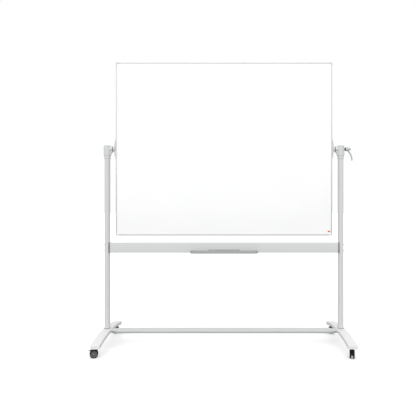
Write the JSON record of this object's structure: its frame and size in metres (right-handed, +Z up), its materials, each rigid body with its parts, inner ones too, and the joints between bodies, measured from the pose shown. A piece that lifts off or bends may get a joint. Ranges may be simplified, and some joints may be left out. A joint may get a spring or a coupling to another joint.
{
  "type": "rolling whiteboard",
  "caption": "Double-sided whiteboard in a slim frame that spins between two posts on arched feet with twin-wheel casters; side clamp lever and shallow pen tray.",
  "frame": {"origin": "on the floor, midway between the two posts, in the plane of the posts and of the board's pivot axis", "axes": "+X to the right as seen from the front, -Y towards the front (the tray side), +Z up"},
  "size_m": [1.7469, 0.6252, 1.955],
  "materials": {
    "core_board": "fine fibreboard",
    "enamel": "glossy white enamel on steel",
    "anodised": "satin anodised",
    "corner_plastic": "fine matt texture",
    "badge_orange": "satin",
    "cast_grey": "satin powder coat",
    "zinc_steel": "bright zinc plate",
    "friction_fibre": "dark grey fibre",
    "bush_plastic": "natural nylon",
    "lever_metal": "silver powder coat on a zinc casting",
    "black_steel": "blackened",
    "post_paint": "light grey satin powder coat",
    "tray_paint": "light grey satin powder coat",
    "base_paint": "pale grey satin powder coat",
    "dark_plastic": "glass-filled nylon",
    "saddle_plastic": "mid grey, matt",
    "caster_black": "fine matt texture",
    "wheel_grey": "dark grey polyurethane"
  },
  "bodies": {
    "stand": {"pivot_head_left": "cast_grey", "pivot_head_right": "cast_grey", "head_caps": "corner_plastic", "pivot_bushes": "bush_plastic", "head_set_screws": "zinc_steel", "bore_plug_left": "corner_plastic", "post_left": "post_paint", "post_right": "post_paint", "post_inserts": "dark_plastic", "post_saddles": "saddle_plastic", "upper_rail": "post_paint", "rail_end_blocks": "dark_plastic", "rail_saddles": "saddle_plastic", "pen_tray": "tray_paint", "tray_screws": "zinc_steel", "lower_bar": "base_paint", "bar_couplings": "base_paint", "stand_bolts": "black_steel", "foot_left": "base_paint", "foot_right": "base_paint", "foot_end_caps": "corner_plastic", "caster_stems": "black_steel"},
    "board": {"board_core": "core_board", "front_sheet": "enamel", "rear_sheet": "enamel", "frame_top": "anodised", "frame_bottom": "anodised", "frame_left": "anodised", "frame_right": "anodised", "frame_corners": "corner_plastic", "badge": "badge_orange", "pivot_plate_left": "cast_grey", "pivot_plate_right": "cast_grey", "plate_screws": "zinc_steel", "pivot_shaft_left": "zinc_steel", "pivot_shaft_right": "zinc_steel", "friction_washers": "friction_fibre", "shaft_clip_left": "zinc_steel"},
    "clamp_screw": {"clamp_insert": "black_steel", "clamp_button": "zinc_steel", "clamp_spring": "zinc_steel"},
    "clamp_lever": {"clamp_handle": "lever_metal"},
    "caster_front_left": {"caster_hood_front_left": "caster_black", "axle_front_left": "zinc_steel"},
    "wheel_front_left_a": {"wheel_front_left_a": "wheel_grey"},
    "wheel_front_left_b": {"wheel_front_left_b": "wheel_grey"},
    "brake_pedal_front_left": {"brake_pedal_front_left": "caster_black"},
    "caster_front_right": {"caster_hood_front_right": "caster_black", "axle_front_right": "zinc_steel"},
    "wheel_front_right_a": {"wheel_front_right_a": "wheel_grey"},
    "wheel_front_right_b": {"wheel_front_right_b": "wheel_grey"},
    "brake_pedal_front_right": {"brake_pedal_front_right": "caster_black"},
    "caster_rear_left": {"caster_hood_rear_left": "caster_black", "axle_rear_left": "zinc_steel"},
    "wheel_rear_left_a": {"wheel_rear_left_a": "wheel_grey"},
    "wheel_rear_left_b": {"wheel_rear_left_b": "wheel_grey"},
    "caster_rear_right": {"caster_hood_rear_right": "caster_black", "axle_rear_right": "zinc_steel"},
    "wheel_rear_right_a": {"wheel_rear_right_a": "wheel_grey"},
    "wheel_rear_right_b": {"wheel_rear_right_b": "wheel_grey"}
  },
  "joints": [
    {"name": "board_spin", "type": "hinge", "parent": "stand", "child": "board", "pos_m": [0, 0, 1.355], "axis": [1, 0, 0], "continuous": true},
    {"name": "clamp_turn", "type": "hinge", "parent": "board", "child": "clamp_screw", "pos_m": [0.842, 0, 1.355], "axis": [1, 0, 0], "range_deg": [0, 150]},
    {"name": "clamp_lift", "type": "slide", "parent": "clamp_screw", "child": "clamp_lever", "axis": [1, 0, 0], "range_m": [0, 0.004], "stiffness_N_per_m": 1500, "springref_m": -0.001, "deforming": ["clamp_spring"]},
    {"name": "swivel_front_left", "type": "hinge", "parent": "stand", "child": "caster_front_left", "pos_m": [-0.81, -0.278, 0.04], "axis": [0, 0, 1], "continuous": true},
    {"name": "roll_front_left_a", "type": "hinge", "parent": "caster_front_left", "child": "wheel_front_left_a", "pos_m": [-0.82154, -0.28131, 0.025], "axis": [0.2756, -0.9613, 0], "continuous": true},
    {"name": "roll_front_left_b", "type": "hinge", "parent": "caster_front_left", "child": "wheel_front_left_b", "pos_m": [-0.82154, -0.28131, 0.025], "axis": [0.2756, -0.9613, 0], "continuous": true},
    {"name": "brake_front_left", "type": "hinge", "parent": "caster_front_left", "child": "brake_pedal_front_left", "pos_m": [-0.84001, -0.2866, 0.04791], "axis": [0.2756, -0.9613, 0], "range_deg": [0, 16]},
    {"name": "swivel_front_right", "type": "hinge", "parent": "stand", "child": "caster_front_right", "pos_m": [0.81, -0.278, 0.04], "axis": [0, 0, 1], "continuous": true},
    {"name": "roll_front_right_a", "type": "hinge", "parent": "caster_front_right", "child": "wheel_front_right_a", "pos_m": [0.80669, -0.28953, 0.025], "axis": [0.9613, -0.2756, 0], "continuous": true},
    {"name": "roll_front_right_b", "type": "hinge", "parent": "caster_front_right", "child": "wheel_front_right_b", "pos_m": [0.80669, -0.28953, 0.025], "axis": [0.9613, -0.2756, 0], "continuous": true},
    {"name": "brake_front_right", "type": "hinge", "parent": "caster_front_right", "child": "brake_pedal_front_right", "pos_m": [0.80139, -0.30801, 0.04791], "axis": [0.9613, -0.2756, 0], "range_deg": [0, 16]},
    {"name": "swivel_rear_left", "type": "hinge", "parent": "stand", "child": "caster_rear_left", "pos_m": [-0.81, 0.278, 0.04], "axis": [0, 0, 1], "continuous": true},
    {"name": "roll_rear_left_a", "type": "hinge", "parent": "caster_rear_left", "child": "wheel_rear_left_a", "pos_m": [-0.822, 0.278, 0.025], "axis": [0, -1, 0], "continuous": true},
    {"name": "roll_rear_left_b", "type": "hinge", "parent": "caster_rear_left", "child": "wheel_rear_left_b", "pos_m": [-0.822, 0.278, 0.025], "axis": [0, -1, 0], "continuous": true},
    {"name": "swivel_rear_right", "type": "hinge", "parent": "stand", "child": "caster_rear_right", "pos_m": [0.81, 0.278, 0.04], "axis": [0, 0, 1], "continuous": true},
    {"name": "roll_rear_right_a", "type": "hinge", "parent": "caster_rear_right", "child": "wheel_rear_right_a", "pos_m": [0.81, 0.266, 0.025], "axis": [1, 0, 0], "continuous": true},
    {"name": "roll_rear_right_b", "type": "hinge", "parent": "caster_rear_right", "child": "wheel_rear_right_b", "pos_m": [0.81, 0.266, 0.025], "axis": [1, 0, 0], "continuous": true}
  ]
}
